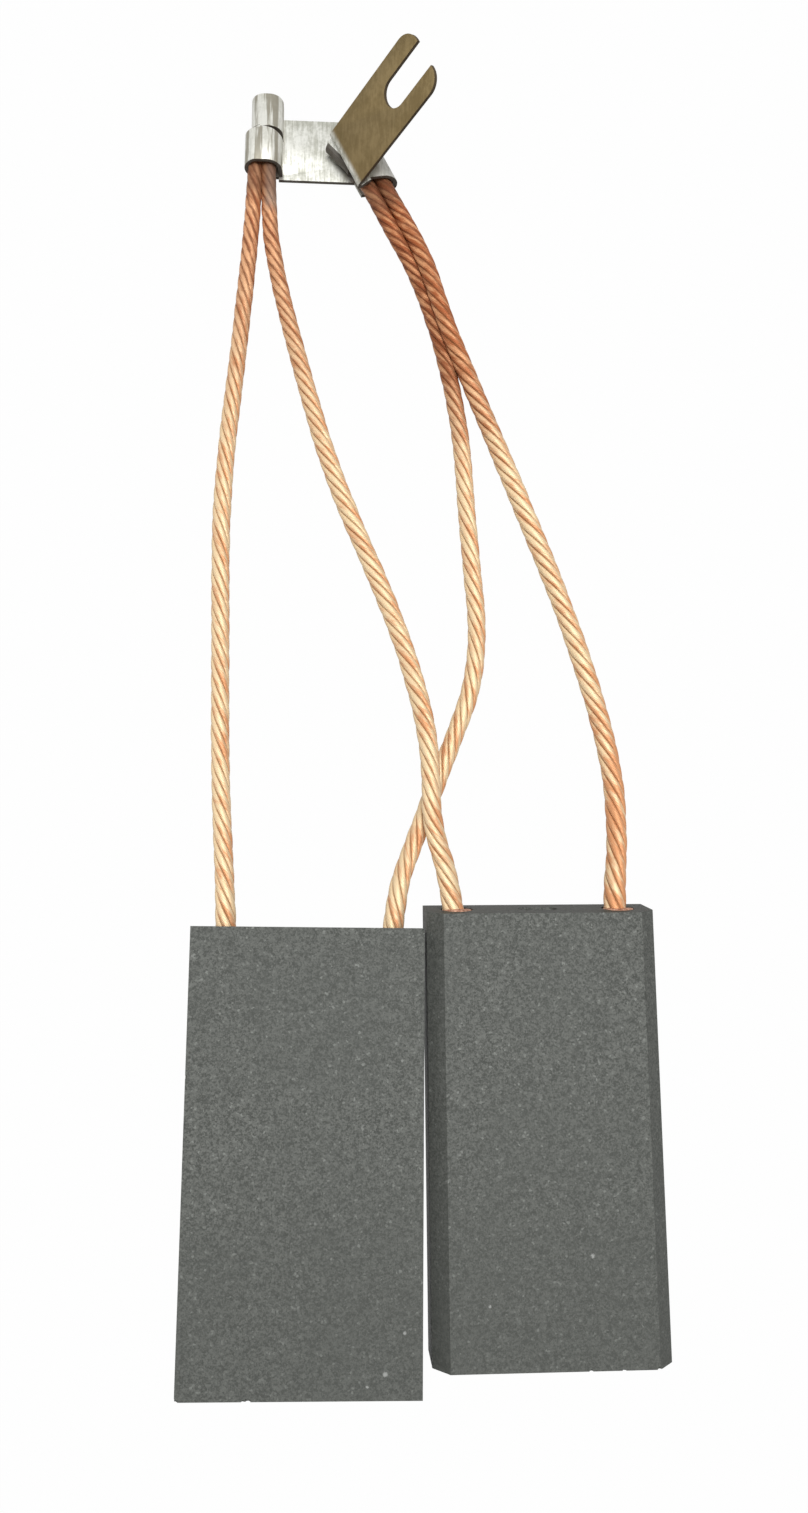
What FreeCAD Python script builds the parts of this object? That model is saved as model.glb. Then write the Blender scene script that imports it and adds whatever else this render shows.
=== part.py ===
"""Split carbon brush: two wafers, four stranded copper shunts and one folded fork terminal.

Units are millimetres. The brush lies on a table at z = 0, opened out side by side, with +Z up.
The origin is the centre of the left wafer's underside. +Y runs from the wafers to the terminal.
The left wafer shows its plain inner face, the right wafer its outer face with chamfered edges.
"""
import FreeCAD, Part
import math
import os
import Sketcher

V = FreeCAD.Vector

SIZES = {
    # the wafers
    "wafer_width": 32.0,
    "wafer_length": 60.0,
    "wafer_thickness": 8.0,
    "edge_chamfer": 2.2,
    "head_bevel": 5.0,            # degrees, the outer face is the shorter one
    "shunt_inset": 4.5,           # a hole's axis from the wafer's side
    "shunt_hole_dia": 4.6,
    "shunt_hole_depth": 6.0,
    "recess_length": 5.6,
    "recess_width": 2.6,
    "recess_depth": 1.6,
    # how the right wafer lies beside the left one
    "wafer_gap": 0.9,             # between the two wafers, measured at mid-length
    "right_wafer_forward": 3.3,
    "right_wafer_turn": 1.0,
    # the shunts
    "rope_dia": 2.5,
    "rope_play": 0.03,            # radial room round a rope in its plug or crimp
    "plug_play": 0.02,            # radial room round a plug in the carbon
    "plug_set_in": 0.15,
    # the terminal
    "sheet": 0.6,
    "terminal_left": -6.5,        # the left barrel's right wall
    "terminal_foot": 146.9,       # the plate's edge that faces the wafers
    "plate_length": 9.6,
    "plate_width": 10.5,
    "crimp_height": 3.5,          # inside, both barrels
    "mouth_set_back": 0.5,
    "lower_barrel_length": 5.4,
    "shoulder_length": 0.9,
    "upper_barrel_length": 5.3,
    "upper_barrel_width": 3.8,    # inside
    "upper_barrel_height": 3.1,   # inside
    "slit_width": 1.5,
    "strip_angle": 27.6,          # degrees, the right barrel's axis from -Y
    "strip_width": 9.7,
    "mouth_skew": 18.0,           # degrees, the right barrel's mouth runs on past its rope side
    "mouth_start": 8.7,
    "strip_corner_x": 1.39,
    "strip_corner_y": 152.4,
    "rope_inset": 0.3,            # the first rope in the right barrel, in from the strip's edge
    "roof_flat": 1.85,            # level stretch over the ropes, before the roll descends
    "roll_descent": 24.0,         # degrees, how far the roll closes before the fork turns up
    "roof_run": 0.6,              # straight stretch between the descent and the fold
    "fold_radius": 0.45,
    "side_across": 0.1,           # the middle of the barrel's rounded side, where it starts
    "side_slant": 16.0,           # degrees, how fast that side runs in under the fold
    "side_length": 5.2,
    "fork_rise": 50.3,            # degrees from the table
    "fork_length": 19.4,
    "fork_slot": 4.2,
    "fork_slot_depth": 8.9,
    "fork_corner": 2.4,           # radius of the tips' outer corners
}

# The shunts' routes on the table, from the terminal to the wafers. Each shunt also has a straight
# lead at either end, out of its crimp and out of its hole, as long as these say.
CRIMP_LEAD = 4.2
HOLE_LEADS = {"shunt_outer_left": 4.6, "shunt_crossing": 4.2, "shunt_inner_left": 3.8, "shunt_outer_right": 4.6}
SHUNT_ROUTES = {
    "shunt_outer_left": [
        (-12.1, 127.0, 1.30), (-14.9, 98.0, 1.30), (-13.9, 73.0, 1.30), (-12.9, 49.0, 2.10)],
    "shunt_crossing": [
        (-7.4, 130.5, 1.35), (-2.6, 113.0, 1.30), (3.0, 94.8, 1.30), (12.6, 76.2, 1.50),
        (16.5, 60.5, 6.30), (17.4, 53.8, 7.10), (18.8, 46.2, 7.10)],
    "shunt_inner_left": [
        (14.8, 129.8, 1.35), (22.2, 107.0, 1.30), (26.0, 75.0, 1.30), (20.4, 53.4, 1.30),
        (15.2, 43.2, 1.90)],
    "shunt_outer_right": [
        (17.4, 131.4, 3.15), (23.6, 114.2, 3.10), (30.6, 95.6, 1.30), (39.2, 75.6, 1.30),
        (45.9, 51.6, 1.80)],
}


def make_sheet(doc):
    sheet = doc.addObject("Spreadsheet::Sheet", "Sizes")
    for row, (name, value) in enumerate(SIZES.items(), start=1):
        sheet.set("A%d" % row, name)
        sheet.set("B%d" % row, repr(value))
        sheet.setAlias("B%d" % row, name)
    doc.recompute()
    return sheet


def origin_plane(body, role):
    return [f for f in body.Origin.OriginFeatures if f.Role == role][0]


def new_sketch(body, name, role):
    sketch = body.newObject("Sketcher::SketchObject", name)
    sketch.AttachmentSupport = (origin_plane(body, role), [""])
    sketch.MapMode = "FlatFace"
    return sketch


def bind(sketch, constraint, expression):
    index = sketch.addConstraint(constraint)
    sketch.setExpression("Constraints[%d]" % index, expression)


def polygon(sketch, corners):
    """A closed outline whose corners are pairs of expressions, measured from the sketch's origin."""
    count = len(corners)
    ring = [V(math.cos(2 * math.pi * i / count), math.sin(2 * math.pi * i / count), 0)
            for i in range(count)]
    for i in range(count):
        sketch.addGeometry(Part.LineSegment(ring[i], ring[(i + 1) % count]))
    for i, (across, up) in enumerate(corners):
        sketch.addConstraint(Sketcher.Constraint("Coincident", i, 2, (i + 1) % count, 1))
        bind(sketch, Sketcher.Constraint("DistanceX", -1, 1, i, 1, ring[i].x), across)
        bind(sketch, Sketcher.Constraint("DistanceY", -1, 1, i, 1, ring[i].y), up)


def circle(sketch, across, up, diameter):
    index = sketch.addGeometry(Part.Circle(V(1, 1, 0), V(0, 0, 1), 1))
    bind(sketch, Sketcher.Constraint("DistanceX", -1, 1, index, 3, 1), across)
    bind(sketch, Sketcher.Constraint("DistanceY", -1, 1, index, 3, 1), up)
    bind(sketch, Sketcher.Constraint("Diameter", index, 2), diameter)


def slot(sketch, up, length, width):
    """A slot with round ends, centred on the sketch's vertical axis."""
    quarter = math.pi / 2
    left = sketch.addGeometry(Part.ArcOfCircle(Part.Circle(V(-1, 0, 0), V(0, 0, 1), 1), quarter, 3 * quarter))
    right = sketch.addGeometry(Part.ArcOfCircle(Part.Circle(V(1, 0, 0), V(0, 0, 1), 1), -quarter, quarter))
    low = sketch.addGeometry(Part.LineSegment(V(-1, -1, 0), V(1, -1, 0)))
    high = sketch.addGeometry(Part.LineSegment(V(-1, 1, 0), V(1, 1, 0)))
    for first, second in (((left, 2), (low, 1)), ((low, 2), (right, 1)),
                          ((right, 2), (high, 2)), ((high, 1), (left, 1))):
        sketch.addConstraint(Sketcher.Constraint("Tangent", *first, *second))
    sketch.addConstraint(Sketcher.Constraint("Equal", left, right))
    bind(sketch, Sketcher.Constraint("Radius", left, 1), width + " / 2")
    for arc, side in ((left, "-"), (right, "")):
        bind(sketch, Sketcher.Constraint("DistanceX", -1, 1, arc, 3, 1),
             "%s(%s - %s) / 2" % (side, length, width))
        bind(sketch, Sketcher.Constraint("DistanceY", -1, 1, arc, 3, 1), up)


def head_pocket(body, name, depth):
    """A blind pocket in the head end: its sketch lies at the pocket's floor and it opens at the head."""
    sketch = new_sketch(body, name + "Profile", "XZ_Plane")
    sketch.setExpression("AttachmentOffset.Base.z", "-(Sizes.wafer_length / 2 - %s)" % depth)
    pocket = body.newObject("PartDesign::Pocket", name)
    pocket.Profile = sketch
    pocket.setExpression("Length", "2 * " + depth)
    return sketch, pocket


def make_wafer(doc, label):
    """One wafer with its inner face on z = 0, its outer face up and its head end at +Y."""
    body = doc.addObject("PartDesign::Body", label)
    side = new_sketch(body, label + "Side", "YZ_Plane")
    polygon(side, [
        ("-Sizes.wafer_length / 2", "0 * Sizes.wafer_thickness"),
        ("Sizes.wafer_length / 2", "0 * Sizes.wafer_thickness"),
        ("Sizes.wafer_length / 2 - Sizes.wafer_thickness * tan(Sizes.head_bevel * 1 deg)",
         "Sizes.wafer_thickness"),
        ("-Sizes.wafer_length / 2", "Sizes.wafer_thickness")])
    block = body.newObject("PartDesign::Pad", label + "Block")
    block.Profile = side
    block.Midplane = True
    block.setExpression("Length", "Sizes.wafer_width")
    doc.recompute()

    top = SIZES["wafer_thickness"]
    half = SIZES["wafer_width"] / 2
    long_edges = ["Edge%d" % (i + 1) for i, edge in enumerate(block.Shape.Edges)
                  if abs(edge.CenterOfMass.z - top) < 0.01 and abs(abs(edge.CenterOfMass.x) - half) < 0.01]
    chamfer = body.newObject("PartDesign::Chamfer", label + "Chamfer")
    chamfer.Base = (block, long_edges)
    chamfer.setExpression("Size", "Sizes.edge_chamfer")

    holes, hole_cut = head_pocket(body, label + "Holes", "Sizes.shunt_hole_depth")
    for side_sign in ("-", ""):
        circle(holes, side_sign + "(Sizes.wafer_width / 2 - Sizes.shunt_inset)", "Sizes.wafer_thickness / 2",
               "Sizes.shunt_hole_dia")
    recess, recess_cut = head_pocket(body, label + "Recess", "Sizes.recess_depth")
    slot(recess, "Sizes.wafer_thickness / 2", "Sizes.recess_length", "Sizes.recess_width")
    body.Tip = recess_cut
    return body


def wafer_depth(inset):
    """How far along a wafer a point lies that is this deep in its head end, at mid-thickness."""
    slope = math.tan(math.radians(SIZES["head_bevel"]))
    return SIZES["wafer_length"] / 2 - slope * SIZES["wafer_thickness"] / 2 - inset


def left_wafer_place():
    """The left wafer lies turned over, its inner face up."""
    return FreeCAD.Placement(V(0, 0, SIZES["wafer_thickness"]), FreeCAD.Rotation(V(0, 1, 0), 180))


def right_wafer_place():
    offset = SIZES["wafer_width"] + SIZES["wafer_gap"]
    return FreeCAD.Placement(V(offset, SIZES["right_wafer_forward"], 0),
                             FreeCAD.Rotation(V(0, 0, 1), SIZES["right_wafer_turn"]))


def on_hole_axis(place, side, along):
    """A point on the axis of a shunt's hole, in the part's own frame. Side is -1 or 1."""
    across = side * (SIZES["wafer_width"] / 2 - SIZES["shunt_inset"])
    return place.multVec(V(across, along, SIZES["wafer_thickness"] / 2))


def hole_floor(place, side):
    return on_hole_axis(place, side, SIZES["wafer_length"] / 2 - SIZES["shunt_hole_depth"])


def hole_exit(place, side, lead):
    return on_hole_axis(place, side, wafer_depth(-lead))


def make_plug(doc, label, place, side):
    """Tamped copper powder that holds a shunt in its hole, with its face just below the head end."""
    outer = doc.addObject("Part::Cylinder", label + "Outer")
    outer.setExpression("Radius", "Sizes.shunt_hole_dia / 2 - Sizes.plug_play")
    bore = doc.addObject("Part::Cylinder", label + "Bore")
    bore.setExpression("Radius", "Sizes.rope_dia / 2 + Sizes.rope_play")
    for cylinder in (outer, bore):
        cylinder.setExpression(
            "Height", "Sizes.shunt_hole_depth - Sizes.plug_set_in"
                      " - Sizes.wafer_thickness / 2 * tan(Sizes.head_bevel * 1 deg)")
    plug = doc.addObject("Part::Cut", label)
    plug.Base = outer
    plug.Tool = bore
    out = place.Rotation.multVec(V(0, 1, 0))
    plug.Placement = FreeCAD.Placement(hole_floor(place, side), FreeCAD.Rotation(V(0, 0, 1), out))
    return plug


def walk(start, heading, moves):
    """The two sides of a bent strip seen edge on, as lists of edges in the XY plane.

    A move is (length, None) for a flat stretch, or (radius, turn) for a bend about the sheet's
    middle, with the turn in degrees, positive to the left. Returns left, right and the end states.
    """
    half = SIZES["sheet"] / 2
    point, angle = V(start[0], start[1], 0), math.radians(heading)
    sides = {1: [], -1: []}

    def beside(at, facing, side):
        return at + V(-math.sin(facing), math.cos(facing), 0) * (half * side)

    begin = (point, angle)
    for size, turn in moves:
        if turn is None:
            end = point + V(math.cos(angle), math.sin(angle), 0) * size
            for side in sides:
                sides[side].append(Part.LineSegment(beside(point, angle, side), beside(end, angle, side)).toShape())
            point = end
            continue
        way = 1 if turn > 0 else -1
        middle = point + V(-math.sin(angle), math.cos(angle), 0) * (size * way)

        def on_bend(facing):
            return middle - V(-math.sin(facing), math.cos(facing), 0) * (size * way)

        halfway, last = angle + math.radians(turn) / 2, angle + math.radians(turn)
        for side in sides:
            sides[side].append(Part.Arc(beside(point, angle, side), beside(on_bend(halfway), halfway, side),
                                        beside(on_bend(last), last, side)).toShape())
        point, angle = on_bend(last), last
    return sides[1], sides[-1], begin, (point, angle), beside


def strip_wire(start, heading, moves):
    """The closed outline of a bent strip seen edge on."""
    left, right, (first, first_angle), (last, last_angle), beside = walk(start, heading, moves)
    ends = [Part.LineSegment(beside(last, last_angle, 1), beside(last, last_angle, -1)).toShape(),
            Part.LineSegment(beside(first, first_angle, -1), beside(first, first_angle, 1)).toShape()]
    return Part.Wire(Part.__sortEdges__(left + right + ends))


def stand_up(shape, along):
    """Turns an outline drawn in the XY plane so that its Y is the part's +Z, and moves it along Y."""
    turned = shape.copy()
    turned.rotate(V(0, 0, 0), V(1, 0, 0), 90)
    turned.translate(V(0, along, 0))
    return turned


def barrel_moves(inner_width, inner_height):
    """The roll of the left barrel, from the plate under the ropes, up, over and down to the plate."""
    sheet = SIZES["sheet"]
    bend = (inner_height + sheet) / 2
    flat = inner_width - inner_height
    return [(flat + bend, None), (bend, -180), (flat, None), (bend, -90),
            (bend - sheet / 2 - 0.04, None)]


def barrel_wire(inner_width, inner_height, along):
    right_wall = -SIZES["sheet"] / 2
    wire = strip_wire((right_wall, SIZES["sheet"] / 2), 180, barrel_moves(inner_width, inner_height))
    return stand_up(wire, along)


def crimp_width():
    return 2 * (SIZES["rope_dia"] + 2 * SIZES["rope_play"])


def left_barrel():
    """The rolled barrel beside the plate: a wider mouth, a shoulder and a tighter end."""
    wide = (crimp_width(), SIZES["crimp_height"])
    tight = (SIZES["upper_barrel_width"], SIZES["upper_barrel_height"])
    mouth = SIZES["mouth_set_back"]
    shoulder = mouth + SIZES["lower_barrel_length"]
    neck = shoulder + SIZES["shoulder_length"]
    lower = Part.Face(barrel_wire(*wide, mouth)).extrude(V(0, SIZES["lower_barrel_length"], 0))
    middle = Part.makeLoft([barrel_wire(*wide, shoulder), barrel_wire(*tight, neck)], True, True)
    upper = Part.Face(barrel_wire(*tight, neck)).extrude(V(0, SIZES["upper_barrel_length"], 0))
    barrel = lower.fuse([middle, upper])

    height = SIZES["crimp_height"] + 3 * SIZES["sheet"]
    reach = crimp_width() / 2 + SIZES["sheet"]
    top = V(-reach, shoulder + SIZES["shoulder_length"] * 0.6, 0)
    wedge = Part.makePolygon([top, V(1, shoulder - SIZES["slit_width"] / 2, 0),
                              V(1, shoulder + SIZES["slit_width"] / 2, 0), top])
    slit = Part.Face(wedge).extrude(V(0, 0, height))
    slit.translate(V(0, 0, SIZES["sheet"]))
    return barrel.cut(slit)


def plate():
    """The flat sheet between the two barrels, with its far corner cut back to the strip."""
    angle = math.radians(SIZES["strip_angle"])
    corner = strip_corner()
    length, width = SIZES["plate_length"], SIZES["plate_width"]
    back = corner + V(math.cos(angle), math.sin(angle), 0) * (SIZES["rope_dia"] + SIZES["sheet"])
    near = corner + V(math.sin(angle), -math.cos(angle), 0) * ((corner.y + SIZES["sheet"]) / math.cos(angle))
    inner = V(near.x + SIZES["rope_dia"] / 2, 0, 0)
    outline = Part.makePolygon([V(-SIZES["sheet"], 0, 0), V(near.x, 0, 0), inner, back,
                                V(length, width, 0), V(-SIZES["sheet"], width, 0), V(-SIZES["sheet"], 0, 0)])
    return Part.Face(outline).extrude(V(0, 0, SIZES["sheet"]))


def strip_corner():
    """The corner of the rolled strip next to the plate, in the terminal's own frame."""
    return V(SIZES["strip_corner_x"] - SIZES["terminal_left"],
             SIZES["strip_corner_y"] - SIZES["terminal_foot"], 0)


def strip_place():
    """From the strip's drawing, X across the barrel, Y up and -Z along it, to the terminal's frame."""
    upright = FreeCAD.Placement(V(0, 0, 0), FreeCAD.Rotation(V(1, 0, 0), 90))
    turn = FreeCAD.Placement(strip_corner(), FreeCAD.Rotation(V(0, 0, 1), SIZES["strip_angle"]))
    return turn.multiply(upright)


def roll_moves():
    """The right barrel's roll: under the ropes, round their right side and back over them."""
    bend = (SIZES["crimp_height"] + SIZES["sheet"]) / 2
    across = strip_inner_right() - SIZES["crimp_height"] / 2
    return [(across - SIZES["sheet"], None), (bend, 180), (SIZES["roof_flat"], None)]


def fold_moves():
    """From the roll's top, down towards the plate and sharply back up into the fork."""
    bend = (SIZES["crimp_height"] + SIZES["sheet"]) / 2
    descent = SIZES["roll_descent"]
    fold = 180 + descent - SIZES["fork_rise"]
    return [(bend, descent), (SIZES["roof_run"], None), (SIZES["fold_radius"], -fold),
            (SIZES["fork_length"], None)]


def roll_start():
    return (SIZES["sheet"], SIZES["sheet"] / 2), 0


def roll_end():
    _, _, _, (point, angle), _ = walk(*roll_start(), roll_moves())
    return point, math.degrees(angle)


def mouth_cutter():
    """What lies beyond the right barrel's skewed mouth, in the strip's drawing."""
    reach, height = 4 * SIZES["strip_width"], 3 * SIZES["crimp_height"]
    tool = Part.makeBox(reach, height, reach, V(-reach / 2, -1, 0))
    tool.Placement = FreeCAD.Placement(V(0, 0, SIZES["mouth_start"]),
                                       FreeCAD.Rotation(V(0, 1, 0), -SIZES["mouth_skew"]))
    return tool


def strip_inner_right():
    """The right barrel's inner wall, measured across from the strip's corner."""
    return crimp_width() + SIZES["rope_inset"]


def fold_underside():
    """The fold's lowest height, in the strip's drawing."""
    _, _, _, (point, angle), _ = walk(*roll_end(), fold_moves()[:-2])
    radius = SIZES["fold_radius"]
    return point.y - math.cos(angle) * radius - radius - SIZES["sheet"] / 2


def rounded_side():
    """The right barrel's side towards the plate, from the plate up to the fold, in the strip's drawing."""
    sheet, length = SIZES["sheet"], SIZES["side_length"]
    bite = sheet / 4
    radius = (fold_underside() - sheet) / 2 + bite
    slant = math.radians(SIZES["side_slant"])
    middle, way = V(SIZES["side_across"], sheet - bite + radius, 0), V(math.sin(slant), 0, math.cos(slant))
    wall = Part.makeCylinder(radius, length, middle, way).cut(
        Part.makeCylinder(radius - sheet, 3 * length, middle - way * length, way))
    inside = Part.makeBox(4 * radius, 4 * radius, 4 * length, V(SIZES["rope_inset"], -radius, -length))
    return wall.cut(inside)


def fork_frame():
    """The fork's root, at mid-sheet, and the way up it, in the strip's drawing."""
    _, _, _, (point, angle), _ = walk(*roll_end(), fold_moves()[:-1])
    return point, angle


def fork_cutter():
    """The open slot and the two rounded outer corners, as one tool in the strip's drawing."""
    length, width = SIZES["fork_length"], SIZES["strip_width"]
    radius, corner, deep = SIZES["fork_slot"] / 2, SIZES["fork_corner"], 4 * SIZES["sheet"]
    floor = length - SIZES["fork_slot_depth"] + radius
    run_out = length + radius
    slot_box = Part.makeBox(run_out - floor, deep, 2 * radius, V(floor, -deep / 2, width / 2 - radius))
    slot_end = Part.makeCylinder(radius, deep, V(floor, -deep / 2, width / 2), V(0, 1, 0))
    tools = [slot_end]
    for low, middle in ((-corner, corner), (width - corner, width - corner)):
        square = Part.makeBox(2 * corner, deep, 2 * corner, V(length - corner, -deep / 2, low))
        tools.append(square.cut(Part.makeCylinder(corner, deep, V(length - corner, -deep / 2, middle),
                                                  V(0, 1, 0))))
    tool = slot_box.fuse(tools)
    point, angle = fork_frame()
    tool.Placement = FreeCAD.Placement(point, FreeCAD.Rotation(V(0, 0, 1), math.degrees(angle)))
    return tool


def make_terminal(doc):
    """The folded sheet: left barrel, plate, right barrel and the fork that stands up from it."""
    width = SIZES["strip_width"]
    roll = Part.Face(strip_wire(*roll_start(), roll_moves())).extrude(V(0, 0, 2 * width)).cut(mouth_cutter())
    fork = Part.Face(strip_wire(*roll_end(), fold_moves())).extrude(V(0, 0, width)).cut(fork_cutter())
    strip = roll.fuse([fork, rounded_side()])
    strip.Placement = strip_place()
    shape = plate().fuse([left_barrel(), strip]).removeSplitter()
    terminal = doc.addObject("Part::Feature", "terminal")
    terminal.Shape = shape.Solids[0] if len(shape.Solids) == 1 else shape
    terminal.Placement = terminal_place()
    return terminal


def terminal_place():
    return FreeCAD.Placement(V(SIZES["terminal_left"], SIZES["terminal_foot"], 0), FreeCAD.Rotation())


def left_crimp(side, out=0.0):
    """On a rope's axis in the left barrel, side 0 or 1 from the left, from its end out of the mouth."""
    across = -SIZES["sheet"] - crimp_width() * (0.75 - 0.5 * side)
    along = SIZES["mouth_set_back"] + SIZES["lower_barrel_length"] - out
    return terminal_place().multVec(V(across, along, crimp_middle()))


def right_crimp(side, out=0.0):
    """The same for the right barrel."""
    across, along = rope_across(side), SIZES["strip_width"] - SIZES["lower_barrel_length"] + out
    return terminal_place().multVec(on_strip(across, along, crimp_middle()))


def crimp_middle():
    return SIZES["sheet"] + SIZES["crimp_height"] / 2


def rope_across(side):
    return strip_inner_right() - crimp_width() * (0.75 - 0.5 * side)


def on_strip(across, along, height):
    """A point measured from the strip's corner, across the right barrel and along it to its mouth."""
    angle = math.radians(SIZES["strip_angle"])
    return (strip_corner() + V(math.cos(angle), math.sin(angle), 0) * across
            + V(math.sin(angle), -math.cos(angle), 0) * along + V(0, 0, height))


def stadium(width, height, length):
    """A rounded bar along +Y, centred on X = 0 and Z = 0, that starts at Y = 0."""
    flat, radius = width - height, height / 2
    bar = Part.makeBox(flat, length, height, V(-flat / 2, 0, -radius))
    ends = [Part.makeCylinder(radius, length, V(side * flat / 2, 0, 0), V(0, 1, 0)) for side in (-1, 1)]
    return bar.fuse(ends).removeSplitter()


def make_crimped_ends(doc, label, width, height, length, start, turn):
    """The pressed copper ends of a pair of shunts, behind where the two round ropes begin."""
    ends = doc.addObject("Part::Feature", label)
    ends.Shape = stadium(width, height, length)
    ends.Placement = FreeCAD.Placement(start, FreeCAD.Rotation(V(0, 0, 1), turn))
    return ends


def make_left_ends(doc):
    play = SIZES["rope_play"]
    width, height = SIZES["upper_barrel_width"], SIZES["upper_barrel_height"]
    length = SIZES["shoulder_length"] + SIZES["upper_barrel_length"] - SIZES["mouth_set_back"]
    start = terminal_place().multVec(V(-SIZES["sheet"] - width / 2,
                                       SIZES["mouth_set_back"] + SIZES["lower_barrel_length"],
                                       SIZES["sheet"] + height / 2))
    return make_crimped_ends(doc, "left_crimped_ends", width - 2 * play, height - 2 * play, length, start, 0)


def make_right_ends(doc):
    play = SIZES["rope_play"]
    middle = strip_inner_right() - crimp_width() / 2
    length = SIZES["strip_width"] - SIZES["lower_barrel_length"] - SIZES["mouth_set_back"]
    start = terminal_place().multVec(on_strip(middle, SIZES["strip_width"] - SIZES["lower_barrel_length"],
                                              SIZES["sheet"] + play + SIZES["rope_dia"] / 2))
    return make_crimped_ends(doc, "right_crimped_ends", crimp_width() - 1.0, SIZES["rope_dia"], length, start,
                             SIZES["strip_angle"])


def tube(points, label):
    """A round cord along straight runs joined by tangent arcs as large as the runs allow."""
    points = [V(*p) for p in points]
    edges, at, radii, length = [], points[0], [], 0.0
    for before, corner, after in zip(points, points[1:], points[2:]):
        back, ahead = before - corner, after - corner
        trim = 0.45 * min(back.Length, ahead.Length)
        back.normalize()
        ahead.normalize()
        half_turn = (math.pi - back.getAngle(ahead)) / 2
        radius = trim / math.tan(half_turn)
        radii.append(radius)
        first, last = corner + back * trim, corner + ahead * trim
        inward = back + ahead
        inward.normalize()
        middle = corner + inward * (radius / math.cos(half_turn) - radius)
        edges.append(Part.LineSegment(at, first).toShape())
        edges.append(Part.Arc(first, middle, last).toShape())
        at = last
    edges.append(Part.LineSegment(at, points[-1]).toShape())
    path = Part.Wire(edges)
    section = Part.Wire(Part.Circle(points[0], points[1] - points[0], SIZES["rope_dia"] / 2).toShape())
    solid = path.makePipeShell([section], True, True)
    expected = math.pi * (SIZES["rope_dia"] / 2) ** 2 * path.Length
    print("%s: length %.1f, smallest radius %.1f, volume ratio %.4f"
          % (label, path.Length, min(radii), solid.Volume / expected))
    return solid


def make_shunt(doc, label, crimp, crimp_side, place, side):
    """A shunt from the end of its crimp to the floor of its hole."""
    mouth = SIZES["lower_barrel_length"] + CRIMP_LEAD
    leads_in = [crimp(crimp_side), crimp(crimp_side, mouth)]
    leads_out = [hole_exit(place, side, HOLE_LEADS[label]), hole_floor(place, side)]
    shunt = doc.addObject("Part::Feature", label)
    shunt.Shape = tube(leads_in + SHUNT_ROUTES[label] + leads_out, label)
    return shunt


def check(doc, parts):
    for item in doc.Objects:
        if "Invalid" in item.State or "Error" in item.State:
            raise RuntimeError("%s did not build: %s" % (item.Label, item.State))
    for part in parts:
        if part.Shape.isNull() or not part.Shape.isValid() or not part.Shape.Solids:
            raise RuntimeError("%s has no valid solid" % part.Label)


def main():
    doc = FreeCAD.newDocument("CarbonBrush")
    make_sheet(doc)
    parts = []
    left_place, right_place = left_wafer_place(), right_wafer_place()
    for label, place in (("left_wafer", left_place), ("right_wafer", right_place)):
        wafer = make_wafer(doc, label)
        wafer.Placement = place
        parts.append(wafer)

    # The left wafer is turned over, so its +X hole is the one at -X on the table.
    ends = {
        "shunt_outer_left": (left_crimp, 0, left_place, 1),
        "shunt_crossing": (left_crimp, 1, right_place, -1),
        "shunt_inner_left": (right_crimp, 0, left_place, -1),
        "shunt_outer_right": (right_crimp, 1, right_place, 1),
    }
    for label, (crimp, crimp_side, place, side) in ends.items():
        parts.append(make_shunt(doc, label, crimp, crimp_side, place, side))
        parts.append(make_plug(doc, label.replace("shunt", "plug"), place, side))
    parts += [make_terminal(doc), make_left_ends(doc), make_right_ends(doc)]

    doc.recompute()
    check(doc, parts)
    os.makedirs("parts", exist_ok=True)
    for part in parts:
        box = part.Shape.BoundBox
        print("%-18s volume %9.2f  x %.2f %.2f  y %.2f %.2f  z %.2f %.2f  solids %d" % (
            part.Label, part.Shape.Volume, box.XMin, box.XMax, box.YMin, box.YMax, box.ZMin, box.ZMax,
            len(part.Shape.Solids)))
        part.Shape.exportStep("parts/%s.step" % part.Label)


main()
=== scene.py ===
"""The looks of a split carbon brush: graphite wafers, stranded copper shunts and a tinned fork terminal.

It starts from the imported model, in metres. Wafers, shunts, plugs and terminal get a detailed piece
each, the flattened shunt ends in the barrels keep their solids. Sizes and places that are named
here are in millimetres, and MM or metres() turns them into metres.
"""

import math

import bpy
from mathutils import Matrix, Vector, noise


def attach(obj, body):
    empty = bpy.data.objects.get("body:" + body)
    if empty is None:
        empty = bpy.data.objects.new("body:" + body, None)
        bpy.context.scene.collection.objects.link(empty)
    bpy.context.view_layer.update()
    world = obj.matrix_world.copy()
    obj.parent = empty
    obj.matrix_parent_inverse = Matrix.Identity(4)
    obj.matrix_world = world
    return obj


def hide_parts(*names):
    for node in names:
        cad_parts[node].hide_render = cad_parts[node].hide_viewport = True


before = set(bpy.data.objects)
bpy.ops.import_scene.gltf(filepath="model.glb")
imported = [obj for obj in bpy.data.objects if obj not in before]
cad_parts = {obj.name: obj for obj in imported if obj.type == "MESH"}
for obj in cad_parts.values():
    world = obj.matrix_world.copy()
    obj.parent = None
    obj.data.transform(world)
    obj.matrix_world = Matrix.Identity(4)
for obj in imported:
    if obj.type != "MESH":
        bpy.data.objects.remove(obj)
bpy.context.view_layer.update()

MM = 0.001
WHITE = (1.0, 1.0, 1.0)
WAFER_WIDTH, WAFER_LENGTH, WAFER_THICKNESS = 32, 60, 8


def metres(place):
    return [value * MM for value in place]


# Camera

CAMERA_PLACE = (2.76, 34.73, 155.89)
CAMERA_TURN = (8.144, -2.404, 0.629)
PHOTO_HEIGHT = 1513
FOCAL_PIXELS = 1064.7
SHIFT_PIXELS = (30.0, -15.0)
SENSOR = 36.0
NEAREST, FARTHEST = 5, 20000


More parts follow.
